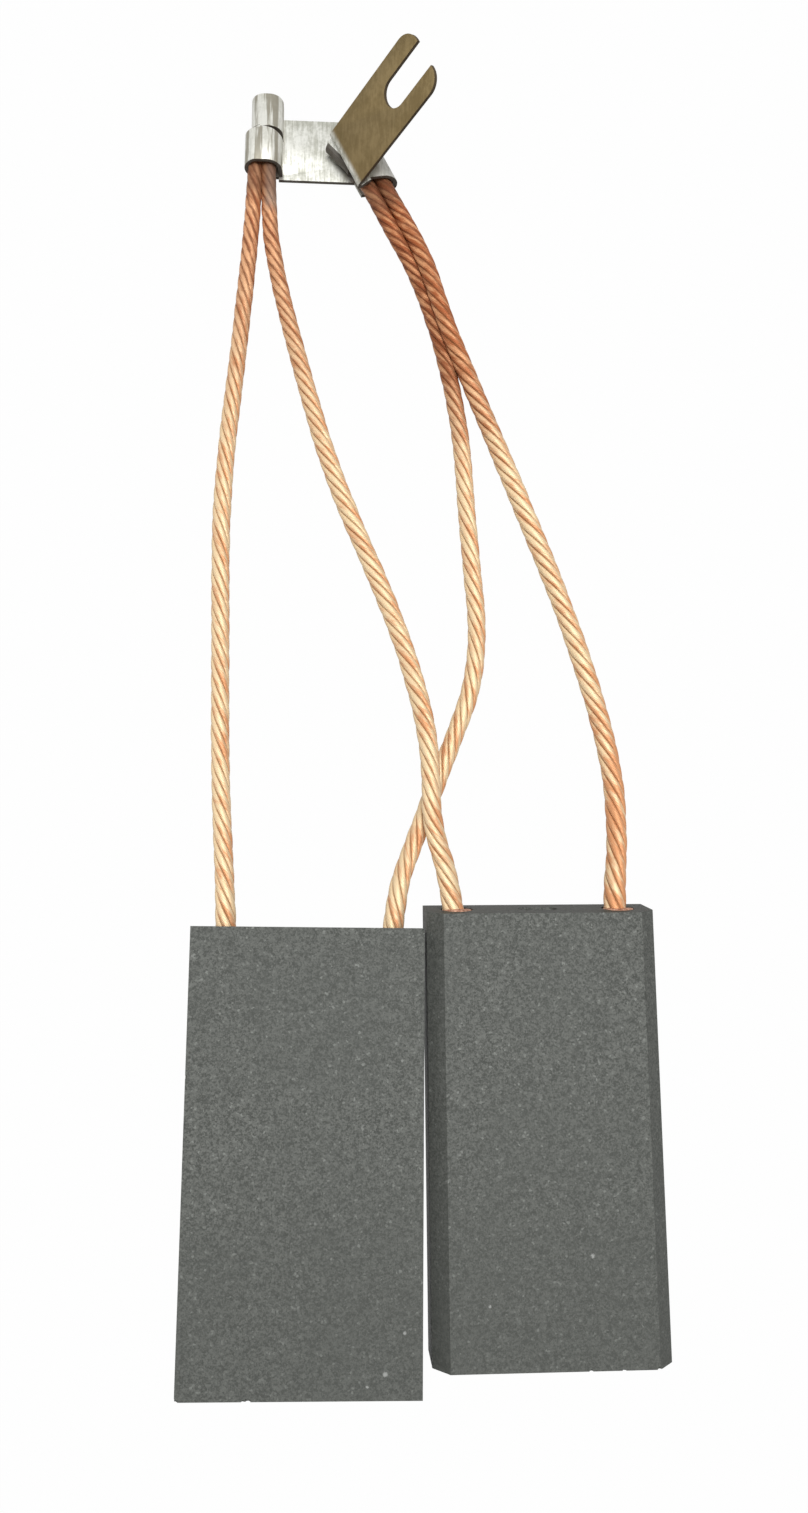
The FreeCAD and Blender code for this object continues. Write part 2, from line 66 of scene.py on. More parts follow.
def add_camera():
    bpy.ops.object.camera_add(location=metres(CAMERA_PLACE),
                              rotation=[math.radians(turn) for turn in CAMERA_TURN])
    camera = bpy.context.object
    camera.data.sensor_width = SENSOR
    camera.data.lens = SENSOR * FOCAL_PIXELS / PHOTO_HEIGHT
    camera.data.shift_x = SHIFT_PIXELS[0] / PHOTO_HEIGHT
    camera.data.shift_y = SHIFT_PIXELS[1] / PHOTO_HEIGHT
    camera.data.clip_start = NEAREST * MM
    camera.data.clip_end = FARTHEST * MM
    bpy.context.scene.camera = camera


# Shader arithmetic

class Term:
    """A shader socket that can be used in Python sums."""

    def __init__(self, paint, socket):
        self.paint, self.socket = paint, socket

    def maths(self, operation, *values):
        return self.paint.node("ShaderNodeMath", {"operation": operation}, *values)

    def __add__(self, other):
        return self.maths("ADD", self, other)

    __radd__ = __add__

    def __sub__(self, other):
        return self.maths("SUBTRACT", self, other)

    def __rsub__(self, other):
        return self.maths("SUBTRACT", other, self)

    def __mul__(self, other):
        return self.maths("MULTIPLY", self, other)

    __rmul__ = __mul__

    def __abs__(self):
        return self.maths("ABSOLUTE", self)

    def fraction(self):
        return self.maths("FRACT", self)

    def sine(self):
        return self.maths("SINE", self)

    def larger(self, other):
        return self.maths("MAXIMUM", self, other)


class Nodes:
    """A node tree that is built from Python."""

    def __init__(self, tree):
        self.tree = tree

    def feed(self, socket, value):
        """Links a term to the socket, or sets the socket to a plain value."""
        if isinstance(value, Term):
            self.tree.links.new(value.socket, socket)
            return
        plain = socket.default_value
        if hasattr(plain, "__len__") and len(plain) == 4 and len(value) == 3:
            value = (*value, 1.0)
        socket.default_value = value

    def node(self, kind, settings=None, *values, at=None, out=0, **named):
        """A node with its settings, then its sockets in order or at the given places, then by name."""
        node = self.tree.nodes.new(kind)
        for key, value in (settings or {}).items():
            setattr(node, key, value)
        for index, value in zip(at or range(len(values)), values):
            self.feed(node.inputs[index], value)
        for name, value in named.items():
            self.feed(node.inputs[name.replace("_", " ")], value)
        return Term(self, node.outputs[out])

    def rays(self):
        """One for the rays that see the set as plain white: from the camera, off metal or through glass."""
        camera = self.node("ShaderNodeLightPath", out="Is Camera Ray")
        outputs = camera.socket.node.outputs
        glossy, through = (Term(self, outputs[name]) for name in ("Is Glossy Ray", "Is Transmission Ray"))
        return camera.larger(glossy).larger(through)


class Paint(Nodes):
    """One material and the nodes that make its finish."""

    def __init__(self, name, **plain):
        self.material = bpy.data.materials.new(name)
        self.material.use_nodes = True
        super().__init__(self.material.node_tree)
        self.shader = next(n for n in self.tree.nodes if n.type == "BSDF_PRINCIPLED")
        for socket, value in plain.items():
            self.shader.inputs[socket.replace("_", " ")].default_value = value

    def shine(self, socket, value):
        self.feed(self.shader.inputs[socket], value)

    def place(self):
        """Object coordinates, which are the row frame in metres."""
        return self.node("ShaderNodeTexCoord", out="Object")

    def mark(self, name):
        """A number that the mesh carries on its faces."""
        return self.node("ShaderNodeAttribute", {"attribute_name": name}, out="Fac")

    def split(self, vector):
        first = self.node("ShaderNodeSeparateXYZ", None, vector)
        return [Term(self, socket) for socket in first.socket.node.outputs]

    def join(self, x, y, z):
        return self.node("ShaderNodeCombineXYZ", None, x, y, z)

    def grain(self, vector, scale, detail, roughness):
        return self.node("ShaderNodeTexNoise", None, Vector=vector, Scale=scale, Detail=detail,
                         Roughness=roughness)

    def cells(self, vector, scale, out="Distance"):
        return self.node("ShaderNodeTexVoronoi", None, out=out, Vector=vector, Scale=scale)

    def band(self, value, low, high, bottom=0.0, top=1.0):
        """Value from low to high, turned into bottom to top with soft ends."""
        return self.node("ShaderNodeMapRange", {"interpolation_type": "SMOOTHSTEP"}, value, low, high,
                         bottom, top)

    def reach(self, value, low, high):
        """Zero to one as a place goes from low to high, which are in millimetres."""
        return self.band(value, low * MM, high * MM)

    def blend(self, amount, first, second):
        return self.node("ShaderNodeMix", {"data_type": "RGBA"}, amount, first, second,
                         at=(0, 6, 7), out=2)

    def relief(self, height, distance, strength):
        return self.node("ShaderNodeBump", None, Strength=strength, Distance=distance * MM, Height=height)


# Graphite

# Grains of each pattern along a metre.
FINE_GRAIN, GRIT_GRAIN, COARSE_GRAIN, CLOUD_GRAIN = 5200, 3600, 900, 60
GRAPHITE_DARK, GRAPHITE_PALE = (0.076, 0.080, 0.073), (0.185, 0.192, 0.177)
GRAPHITE_CLOUD, GRAPHITE_GLINT = (0.112, 0.118, 0.108), (0.46, 0.48, 0.45)
GRAPHITE_FAR, GRAPHITE_RUBBED = (0.088, 0.092, 0.084), (0.55, 0.56, 0.54)
# Painted shade for the wafers' head ends, sides and chamfers, which face away from the light above.
GRAPHITE_SIDE_SHADE = (0.060, 0.063, 0.056)
# Light rub marks on the wafers' upper faces: x, y and radius.
RUBS = [(13.6, -21.8, 0.30), (11.1, -26.8, 0.42), (8.8, -28.3, 0.25), (38.5, -12.35, 0.36),
        (24.8, -18.6, 0.25)]


def graphite():
    """Grainy pressed faces; the mesh attribute marks the head end, sides and chamfers, which get painted
    shade and are darker.
    """
    paint = Paint("dry_graphite", Specular_IOR_Level=0.15)
    place = paint.place()
    fine = paint.grain(place, FINE_GRAIN, 2.0, 0.65)
    coarse = paint.grain(place, COARSE_GRAIN, 3.0, 0.6)
    cloud = paint.grain(place, CLOUD_GRAIN, 3.0, 0.55)
    grit = paint.split(paint.cells(place, GRIT_GRAIN, out="Color"))[0]
    tone = paint.band(fine * 0.6 + grit * 0.22 + coarse * 0.3, 0.38, 0.74)
    colour = paint.blend(tone, GRAPHITE_DARK, GRAPHITE_PALE)
    colour = paint.blend(paint.band(cloud, 0.3, 0.7, 0.0, 0.35), colour, GRAPHITE_CLOUD)
    glint = paint.band(grit, 0.90, 1.0) * paint.band(coarse, 0.46, 0.62)
    colour = paint.blend(glint * 0.3, colour, GRAPHITE_GLINT)
    y = paint.split(place)[1]
    colour = paint.blend(paint.reach(y, 8, -26) * 0.3, colour, GRAPHITE_FAR)
    rubs = 0.0
    for rub_x, rub_y, radius in RUBS:
        far = paint.node("ShaderNodeVectorMath", {"operation": "DISTANCE"}, place,
                         metres((rub_x, rub_y, WAFER_THICKNESS)), out="Value")
        rubs = paint.reach(far + (fine - 0.5) * 0.5 * MM, radius, radius * 0.3).larger(rubs)
    colour = paint.blend(rubs * 0.6, colour, GRAPHITE_RUBBED)
    # Painted shade: the head end, sides and chamfers are darkened where less light falls on them.
    colour = paint.blend(paint.mark("sawn") * 0.62, colour, GRAPHITE_SIDE_SHADE)
    paint.shine("Base Color", colour)
    paint.shine("Roughness", paint.band(fine, 0.3, 0.7, 0.68, 0.55))
    paint.shine("Normal", paint.relief(fine + coarse * 0.7, 0.04, 0.35))
    return paint.material


# Copper

# In these pairs the handled copper near the terminal comes first, and the clean copper second.
COPPER_BRIGHT = ((0.80, 0.42, 0.22), (0.89, 0.69, 0.43))
COPPER_DEEP = ((0.42, 0.135, 0.052), (0.70, 0.33, 0.155))
# Painted shade for the grooves between strands.
COPPER_GROOVE_SHADE = ((0.20, 0.065, 0.03), (0.33, 0.18, 0.075))
COPPER_WIRE = (0.52, 0.25, 0.12)
COPPER_TINNED, COPPER_IN_MOUTH = (0.33, 0.27, 0.22), (0.13, 0.055, 0.03)
# The two shunts that come out of the right barrel are darker and redder at first, with painted shade on their
# lower parts.
PAIR_BRIGHT, PAIR_DEEP, PAIR_UNDER_SHADE = (0.74, 0.36, 0.17), (0.36, 0.09, 0.025), (0.14, 0.035, 0.012)
# Fine wires in one strand's width, and how many of them a millimetre along the strand crosses.
WIRES, WIRE_SLANT = 6.0, 0.8

POWDER_GRAIN, WIRE_END_GRAIN = 2600, 5200
POWDER_DARK, POWDER_PALE = (0.30, 0.13, 0.075), (0.72, 0.42, 0.29)
WIRE_END, WIRE_GAP = (0.30, 0.14, 0.08), (0.08, 0.035, 0.02)


def copper_strands():
    """UV: x counts the strands, y is the way along the shunt in millimetres."""
    paint = Paint("stranded_copper", Specular_IOR_Level=0.2)
    across, along, _ = paint.split(paint.node("ShaderNodeTexCoord", out="UV"))
    x, y, z = paint.split(paint.place())
    strand = across.fraction()
    fibre = across * WIRES + along * WIRE_SLANT
    wires = (fibre * (2 * math.pi)).sine() * 0.5 + 0.5
    patch = paint.grain(paint.join(across * 0.8, along * 0.22, 0.0), 1.0, 3.0, 0.65)
    streak = paint.grain(paint.join(fibre, along * 0.12, 3.0), 1.0, 2.0, 0.6)
    blotch = paint.grain(paint.join(across * 1.3, along * 0.75, 5.0), 1.0, 3.0, 0.6)

    # The grooves between strands get painted shade: smudged where the copper has been handled, crisp where it
    # is clean.
    clean = paint.band(along, 14.0, 55.0)
    ragged = abs(strand - 0.5) + (streak - 0.5) * 0.12
    crisp = paint.band(ragged, 0.39, 0.5)
    smudged = paint.band(ragged + (blotch - 0.5) * 0.9, 0.14, 0.5)
    groove = crisp * clean + smudged * (1 - clean)

    # Patches of bright and deep copper, redder towards the right wafer, and a painted highlight on one side
    # of each strand.
    redder = paint.reach(x, 34, 44) * paint.reach(y, 75, 48)
    toward_right_barrel = paint.reach(x, 4, 10) * paint.reach(y, 96, 120)
    below = paint.reach(z, 3.9, 2.4)
    bright = paint.blend(toward_right_barrel * 0.8, paint.blend(clean, *COPPER_BRIGHT), PAIR_BRIGHT)
    deep = paint.blend(toward_right_barrel * 0.9, paint.blend(clean, *COPPER_DEEP), PAIR_DEEP)
    # Random patches and streaks, plus a painted highlight on one side of each strand.
    lit = patch * 0.7 + streak * 0.25 + (1 - paint.band(strand, 0.25, 0.95)) * 0.13
    share = paint.band(lit - redder * 0.12 - toward_right_barrel * 0.07, 0.40, 0.60)
    colour = paint.blend(share, deep, bright)
    # Painted shade in the grooves between strands.
    colour = paint.blend(groove * 0.75, colour, paint.blend(clean, *COPPER_GROOVE_SHADE))
    colour = paint.blend((1 - wires) * 0.14, colour, COPPER_WIRE)
    # Painted shade on the lower parts of the two shunts by the right barrel, where one lies under the other.
    colour = paint.blend(toward_right_barrel * below * (0.55 - share * 0.3), colour, PAIR_UNDER_SHADE)

    # Tin on the right rope below the left barrel, and the shade inside the mouths.
    tinned = paint.reach(y, 139.0, 142) * paint.reach(x, -9.4, -8.5) * paint.reach(x, 0.0, -2)
    colour = paint.blend(tinned * 0.65, colour, COPPER_TINNED)
    colour = paint.blend(paint.band(along, 12.0, 8.5) * 0.6, colour, COPPER_IN_MOUTH)
    paint.shine("Base Color", colour)
    paint.shine("Metallic", 0.3)
    paint.shine("Roughness", paint.band(groove, 0.0, 1.0, 0.46, 0.7))
    paint.shine("Normal", paint.relief(wires, 0.03, 0.5))
    return paint.material


def copper_powder():
    paint = Paint("tamped_copper_powder", Metallic=0.45)
    grit = paint.grain(paint.place(), POWDER_GRAIN, 3.0, 0.7)
    paint.shine("Base Color", paint.blend(paint.band(grit, 0.35, 0.65), POWDER_DARK, POWDER_PALE))
    paint.shine("Roughness", 0.6)
    paint.shine("Normal", paint.relief(grit, 0.08, 0.8))
    return paint.material


def cut_wires():
    paint = Paint("pressed_wire_ends", Metallic=0.8, Roughness=0.45)
    cells = paint.cells(paint.place(), WIRE_END_GRAIN)
    paint.shine("Base Color", paint.blend(paint.band(cells, 0.25, 0.6), WIRE_END, WIRE_GAP))
    paint.shine("Normal", paint.relief(cells, 0.06, -0.8))
    return paint.material


# Tinned sheet

MOTTLE_GRAIN, TIN_GRAIN = 320, 1700
SCRATCH_TURN, SCRATCH_GRAIN = 0.9, (3600.0, 300.0, 800.0)
STREAK_GRAIN, STREAK_STRETCH = 1100.0, 90.0
# The paler barrel tone and the barrel streaks are painted reflections.
TIN_DULL, TIN_PALE, TIN_BARREL_REFLECTION = (0.42, 0.42, 0.36), (0.78, 0.78, 0.73), (0.80, 0.79, 0.72)
TIN_REFLECTED_STREAK, TIN_SHADED, TIN_INSIDE = (0.25, 0.225, 0.165), (0.15, 0.13, 0.10), (0.20, 0.175, 0.15)
BRONZE_DARK, BRONZE_PALE = (0.175, 0.125, 0.052), (0.235, 0.172, 0.078)
# Dark of the cut edges, partly bare edge and partly painted shade; it is also painted as shade on the tucked
# side and roof.
TIN_EDGE, BRONZE_EDGE = (0.075, 0.06, 0.045), (0.07, 0.05, 0.03)
# The foot of the folded side on the plate: a point of it and the direction away from it.
FOOT_POINT, FOOT_AWAY = (0.2, 152.4), (-0.747, -0.664)


def tinned_sheet():
    """Bright tin, bronze-coloured on the fork; the mesh attribute marks the cut edges and the faces that get
    painted shade.
    """
    paint = Paint("tinned_sheet", Specular_IOR_Level=0.25)
    place = paint.place()
    x, y, z = paint.split(place)
    # Cut edges, and the painted shade on the tucked side and roof.
    cut = paint.mark("cut")
    mottle = paint.grain(place, MOTTLE_GRAIN, 4.0, 0.65)
    fine = paint.grain(place, TIN_GRAIN, 3.0, 0.7)
    turned = paint.node("ShaderNodeMapping", None, Vector=place, Rotation=(0.0, 0.0, SCRATCH_TURN),
                        Scale=SCRATCH_GRAIN)
    scratch = paint.grain(turned, 1.0, 2.0, 0.6)
    tone = paint.band(mottle * 0.5 + scratch * 0.3 + fine * 0.2, 0.38, 0.6)
    silver = paint.blend(tone, TIN_DULL, TIN_PALE)

    # Painted reflections along the left barrel: it is painted paler, with darker streaks for reflected
    # surroundings.
    barrel = paint.reach(x, -6.1, -6.5)
    along_barrel = paint.join(x * STREAK_GRAIN, y * STREAK_STRETCH, z * STREAK_GRAIN)
    streak = paint.grain(along_barrel, 1.0, 3.0, 0.6)
    silver = paint.blend(barrel * 0.5, silver, TIN_BARREL_REFLECTION)
    silver = paint.blend(paint.band(streak, 0.47, 0.58) * barrel * 0.8, silver, TIN_REFLECTED_STREAK)

    # Shade on the plate at the folded side's foot, in the left mouth and on the right barrel.
    beside = (x - FOOT_POINT[0] * MM) * FOOT_AWAY[0] + (y - FOOT_POINT[1] * MM) * FOOT_AWAY[1]
    shade = paint.reach(beside, 1.3, 0.1) * paint.reach(y, 151, 148.5) * paint.reach(z, 0.9, 0.7)
    silver = paint.blend(shade * 0.6, silver, TIN_SHADED)
    mouth = paint.reach(z, 2.4, 1.0) * paint.reach(y, 149.2, 147.6) * barrel
    right_barrel = paint.reach(x, 6.0, 8.0) * paint.reach(z, 0.7, 0.9)
    silver = paint.blend((mouth * 0.75).larger(right_barrel * 0.4), silver, TIN_INSIDE)

    # The fork, above the fold, is bronze-coloured.
    on_fork = paint.reach(z, 4.7, 5.5)
    colour = paint.blend(on_fork, silver, paint.blend(tone, BRONZE_DARK, BRONZE_PALE))
    # Cut edges are painted dark, partly as bare edges and partly as painted shade; the same dark is painted
    # as shade on the tucked side and its roof.
    edge = paint.blend(on_fork, TIN_EDGE, BRONZE_EDGE)
    paint.shine("Base Color", paint.blend(cut * 0.9, colour, edge))
    paint.shine("Metallic", (1 - cut) * 0.45)
    paint.shine("Roughness", paint.band(tone, 0.0, 1.0, 0.52, 0.42) + cut * 0.3)
    paint.shine("Normal", paint.relief(scratch * 0.5 + fine * 0.5, 0.03, 0.35))
    return paint.material


# Modelling helpers

def clamp(value):
    return min(max(value, 0.0), 1.0)


def deselect_all():
    bpy.ops.object.select_all(action="DESELECT")


def only(piece):
    deselect_all()
    piece.select_set(True)
    bpy.context.view_layer.objects.active = piece


def link(name, data):
    piece = bpy.data.objects.new(name, data)
    bpy.context.collection.objects.link(piece)
    return piece


def finish_modifier(piece, kind, **settings):
    only(piece)
    modifier = piece.modifiers.new(kind.title(), kind)
    for key, value in settings.items():
        setattr(modifier, key, value)
    bpy.ops.object.modifier_apply(modifier=modifier.name)


def soften_edges(piece, width, angle):
    finish_modifier(piece, "BEVEL", width=width * MM, segments=2, limit_method="ANGLE",
                    angle_limit=math.radians(angle), use_clamp_overlap=True)


def smooth_below(angle):
    bpy.ops.object.shade_smooth_by_angle(angle=math.radians(angle))


def cut_away(piece, tool):
    finish_modifier(piece, "BOOLEAN", operation="DIFFERENCE", solver="EXACT", object=tool)
    bpy.data.objects.remove(tool, do_unlink=True)


def settle(piece, matrix=None):
    """Puts the piece's place into its mesh, with its object at the origin."""
    if matrix is not None:
        piece.matrix_world = matrix @ piece.matrix_world
    only(piece)
    bpy.ops.object.transform_apply(location=True, rotation=True, scale=True)


def mark_faces(piece, name, rule):
    """Writes what the rule says of each face into the mesh, for the piece's finish."""
    marks = piece.data.attributes.new(name, "FLOAT", "FACE")
    for face in piece.data.polygons:
        marks.data[face.index].value = rule(face)


def dress(piece, material, node):
    piece.data.materials.clear()
    piece.data.materials.append(material)
    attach(piece, "root")
    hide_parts(node)


# Shunts

# From the crimp through its mouth, along the table and into the wafer's hole.
SHUNTS = {
    "shunt_outer_left": [
        (-10.65, 152.8, 2.35), (-10.65, 143.2, 2.35), (-12.1, 122.0, 1.45), (-14.55, 95.0, 1.43),
        (-13.9, 72.0, 1.45), (-13.2, 50.0, 2.0), (-11.7, 34.25, 4.0), (-11.3, 24.0, 4.0)],
    "shunt_crossing": [
        (-8.7, 152.8, 2.35), (-8.65, 143.2, 2.35), (-7.65, 132.5, 1.45), (-2.3, 112.5, 1.43),
        (2.6, 96.5, 1.43), (12.2, 75.0, 1.55), (16.2, 60.5, 4.0), (17.1, 53.0, 4.6),
        (17.2, 44.5, 4.6), (20.2, 36.0, 4.0), (20.98, 27.10, 4.0)],
    "shunt_inner_left": [
        (4.9, 149.4, 2.35), (9.2, 140.9, 2.3), (16.3, 128.5, 1.45), (21.6, 108.5, 1.43),
        (22.9, 89.0, 1.45), (24.9, 69.0, 1.45), (19.6, 54.5, 1.45), (15.0, 42.5, 1.9),
        (11.9, 34.0, 4.0), (11.5, 24.0, 4.0)],
    "shunt_outer_right": [
        (6.9, 150.4, 2.35), (11.4, 141.9, 2.6), (16.1, 132.5, 3.4), (19.3, 121.5, 3.5),
        (24.8, 109.0, 2.0), (31.6, 92.5, 1.55), (38.9, 73.5, 1.58), (44.2, 54.5, 1.7),
        (44.4, 42.0, 2.9), (43.3, 35.0, 4.0), (43.6, 27.50, 4.0)],
}
# The rope is tight in the crimp, a little looser in the mouth, and then opens up to its own radius.
TIGHT_RADIUS, LOOSENED_BY, LOOSENED_AFTER, MOUTH_RADIUS = 1.18, 0.06, 20.0, 1.24
OPENS_AFTER, OPENS_OVER = 12.0, 45.0
OPEN_RADIUS = {"shunt_outer_left": 1.36, "shunt_crossing": 1.42, "shunt_inner_left": 1.36,
               "shunt_outer_right": 1.48}
SPREAD_BY, SPREADS_BEFORE_END, SPREADS_OVER = 0.14, 14.0, 9.0
TIGHT_LAY, LAY_GROWTH, LAY_GROWS_OVER = 12.5, 3.2, 60.0

STRANDS = 6
STRAND_SIDES = 10
RING_STEP = 0.45
FIRST_TWIST = 0.7
# Shares of the radius: how unevenly strands stand out, how far their sides fall off, and the grooves.
UNEVEN, TIGHT_FALL, ADDED_FALL, GROOVE = 0.05, 0.08, 0.07, 0.08
FALL_POWER, FALL_GROWS_OVER = 2.4, 50.0


def shunt_line(route):
    """Points along the shunt's NURBS line, in millimetres and equally far apart, and its length."""
    curve = bpy.data.curves.new("shunt_line", "CURVE")
    curve.dimensions = "3D"
    curve.resolution_u = 24
    spline = curve.splines.new("NURBS")
    spline.points.add(len(route) - 1)
    for point, place in zip(spline.points, route):
        point.co = (*metres(place), 1.0)
    spline.order_u = 3
    spline.use_endpoint_u = True
    holder = link("shunt_line", curve)
    bpy.context.view_layer.update()
    mesh = bpy.data.meshes.new_from_object(holder)
    points = [vertex.co / MM for vertex in mesh.vertices]
    bpy.data.objects.remove(holder, do_unlink=True)
    lengths = [0.0]
    for before, after in zip(points, points[1:]):
        lengths.append(lengths[-1] + (after - before).length)
    count = round(lengths[-1] / RING_STEP)
    line, at = [], 0
    for step in range(count + 1):
        want = lengths[-1] * step / count
        while at < len(points) - 2 and lengths[at + 1] < want:
            at += 1
        stretch = lengths[at + 1] - lengths[at]
        share = (want - lengths[at]) / stretch if stretch else 0.0
        line.append(points[at].lerp(points[at + 1], share))
    return line, lengths[-1]


def rope_radius(along, length, full):
    """The rope is pressed tight at the terminal, opens up, and spreads where it enters the wafer."""
    opening = clamp((along - OPENS_AFTER) / OPENS_OVER)
    spread = clamp((along - (length - SPREADS_BEFORE_END)) / SPREADS_OVER)
    tight = TIGHT_RADIUS + LOOSENED_BY * min(along / LOOSENED_AFTER, 1.0)
    return tight + (full - MOUTH_RADIUS) * opening + SPREAD_BY * spread


def lay_length(along):
    """How far the strands run for one turn round the rope."""
    return TIGHT_LAY + LAY_GROWTH * min(along / LAY_GROWS_OVER, 1.0)


def strand_profile(along, seed):
    """How far each side stands out, as a share of the radius: rounded strands with grooves between."""
    opened = min(along / FALL_GROWS_OVER, 1.0)
    crests = []
    for side in range(STRANDS * STRAND_SIDES):
        strand, step = divmod(side, STRAND_SIDES)
        off = abs(step / STRAND_SIDES - 0.5) * 2.0
        proud = 1.0 + UNEVEN * noise.noise(Vector((strand * 7.3 + seed * 31.0, along * 0.12, 0.0)))
        groove = GROOVE * opened if step == 0 else 0.0
        crests.append(proud - (TIGHT_FALL + ADDED_FALL * opened) * off ** FALL_POWER - groove)
    return crests


def make_shunt(name, route, full, seed):
    """A twisted rope along the route, its UV counting strands across and millimetres along."""
    line, length = shunt_line(route)
    sides = STRANDS * STRAND_SIDES
    last = len(line) - 1
    alongs = [length * index / last for index in range(last + 1)]
    vertices, twist, normal = [], seed * FIRST_TWIST, Vector((0.0, 0.0, 1.0))
    for index, (point, along) in enumerate(zip(line, alongs)):
        tangent = (line[min(index + 1, last)] - line[max(index - 1, 0)]).normalized()
        normal = (normal - tangent * normal.dot(tangent)).normalized()
        sideways = tangent.cross(normal)
        radius = rope_radius(along, length, full)
        for side, crest in enumerate(strand_profile(along, seed)):
            turn = (side / sides) * 2 * math.pi + twist
            out = normal * math.cos(turn) + sideways * math.sin(turn)
            vertices.append((point + out * radius * crest) * MM)
        twist -= 2 * math.pi * (length / last) / lay_length(along)

    faces, corners = [], []
    for ring in range(last):
        here, there = alongs[ring], alongs[ring + 1]
        for side in range(sides):
            beside = (side + 1) % sides
            faces.append((ring * sides + side, ring * sides + beside,
                          (ring + 1) * sides + beside, (ring + 1) * sides + side))
            low, high = side / STRAND_SIDES, (side + 1) / STRAND_SIDES
            corners += [(low, here), (high, here), (high, there), (low, there)]
    for ring in (0, last):
        rim = [ring * sides + side for side in range(sides)]
        faces.append(rim[::-1] if ring == 0 else rim)
        corners += [(side / STRAND_SIDES, alongs[ring]) for side in range(sides)]

    mesh = bpy.data.meshes.new(name)
    mesh.from_pydata(vertices, [], faces)
    chart = mesh.uv_layers.new(name="UVMap")
    for loop, corner in enumerate(corners):
        chart.data[loop].uv = corner
    piece = link(name, mesh)
    only(piece)
    bpy.ops.object.mode_set(mode="EDIT")
    bpy.ops.mesh.select_all(action="SELECT")
    bpy.ops.mesh.normals_make_consistent(inside=False)
    bpy.ops.object.mode_set(mode="OBJECT")
    smooth_below(60)
    return piece, [point * MM for point in line], length * MM


# Wafers

# The blank is longer than the wafer, because its head end is cut off aslant.
BLANK_LENGTH, BLANK_MIDDLE = 60.4, 0.2
HEAD_CUT, HEAD_SLANT = 30.2, math.radians(7.5)
CHAMFER, WAFER_EDGE = 2.2, 0.1
HOLE_ACROSS, HOLE_RADIUS, HOLE_DEPTH = 11.5, 2.3, 6.0
RECESS_RADIUS, RECESS_DEPTH, RECESS_STRETCH = 1.3, 1.6, 3.0
CUTTER_PAST_END = 4
CHIP_GRAIN, CHIP_ROUGHNESS = 2600, 0.45
# How near to the blank's corners an edge has to lie to be chamfered.
NEAR_CORNER = 0.1
# Faces below this area, in square millimetres, are the small curved ones.
SMALL_FACE = 4
LEFT_PLACE = Matrix.Translation((0.0, 0.0, WAFER_THICKNESS * MM)) @ Matrix.Rotation(math.pi, 4, "Y")
RIGHT_PLACE = (Matrix.Translation((32.9 * MM, 3.3 * MM, 0.0))
               @ Matrix.Rotation(math.radians(1.0), 4, "Z"))
# Where flakes are missing from the edges of the unplaced wafers, and their radius.
LEFT_CHIPS = [((6.6, -30.0, 0.0), 0.42), ((7.2, -30.0, 0.0), 0.3), ((16.0, -30.0, 0.0), 0.5),
              ((16.0, 10.3, 0.0), 0.3), ((-15.9, 29.9, 0.1), 0.3)]
RIGHT_CHIPS = [((-13.7, 29.3, 8.0), 0.22), ((13.8, -30.0, 8.0), 0.42), ((4.6, -30.0, 8.0), 0.3),
               ((9.0, -30.0, 8.0), 0.24)]


def select_long_top_edges(piece):
    """In edit mode, selects the two upper edges that run along the wafer."""
    bpy.ops.mesh.select_all(action="DESELECT")
    bpy.ops.mesh.select_mode(type="EDGE")
    bpy.ops.object.mode_set(mode="OBJECT")
    for edge in piece.data.edges:
        first, second = (piece.data.vertices[i].co / MM for i in edge.vertices)
        middle = (first + second) / 2
        at_top = middle.z > WAFER_THICKNESS - NEAR_CORNER
        edge.select = at_top and abs(middle.x) > WAFER_WIDTH / 2 - NEAR_CORNER
    bpy.ops.object.mode_set(mode="EDIT")


def head_cutter(across, radius, depth, stretch=0.0):
    """A round or slot-shaped tool that enters the head end."""
    deselect_all()
    length = depth + CUTTER_PAST_END
    middle = WAFER_LENGTH / 2 - depth + length / 2
    bpy.ops.mesh.primitive_cylinder_add(vertices=48, radius=radius * MM, depth=length * MM,
                                        location=metres((across, middle, WAFER_THICKNESS / 2)),
                                        rotation=(math.pi / 2, 0.0, 0.0))
    tool = bpy.context.object
    settle(tool)
    if stretch:
        for vertex in tool.data.vertices:
            vertex.co.x += math.copysign(stretch / 2 * MM, vertex.co.x - across * MM)
    return tool


def chip(place, size, seed):
    """A small flake lost from an edge."""
    deselect_all()
    bpy.ops.mesh.primitive_ico_sphere_add(subdivisions=2, radius=size * MM, location=metres(place))
    tool = bpy.context.object
    settle(tool)
    middle = Vector(place) * MM
    for vertex in tool.data.vertices:
        out = vertex.co - middle
        rough = noise.noise(out * CHIP_GRAIN + Vector((seed, 0.0, 0.0)))
        vertex.co = middle + out * (1.0 + CHIP_ROUGHNESS * rough)
    return tool


def side_shade_mark(face):
    """How much painted shade a face gets: one on the head end, half on the other sides and the chamfers, none
    on the flat faces.
    """
    return 1.0 if face.normal.y > 0.9 else 0.5 * (abs(face.normal.z) < 0.85)


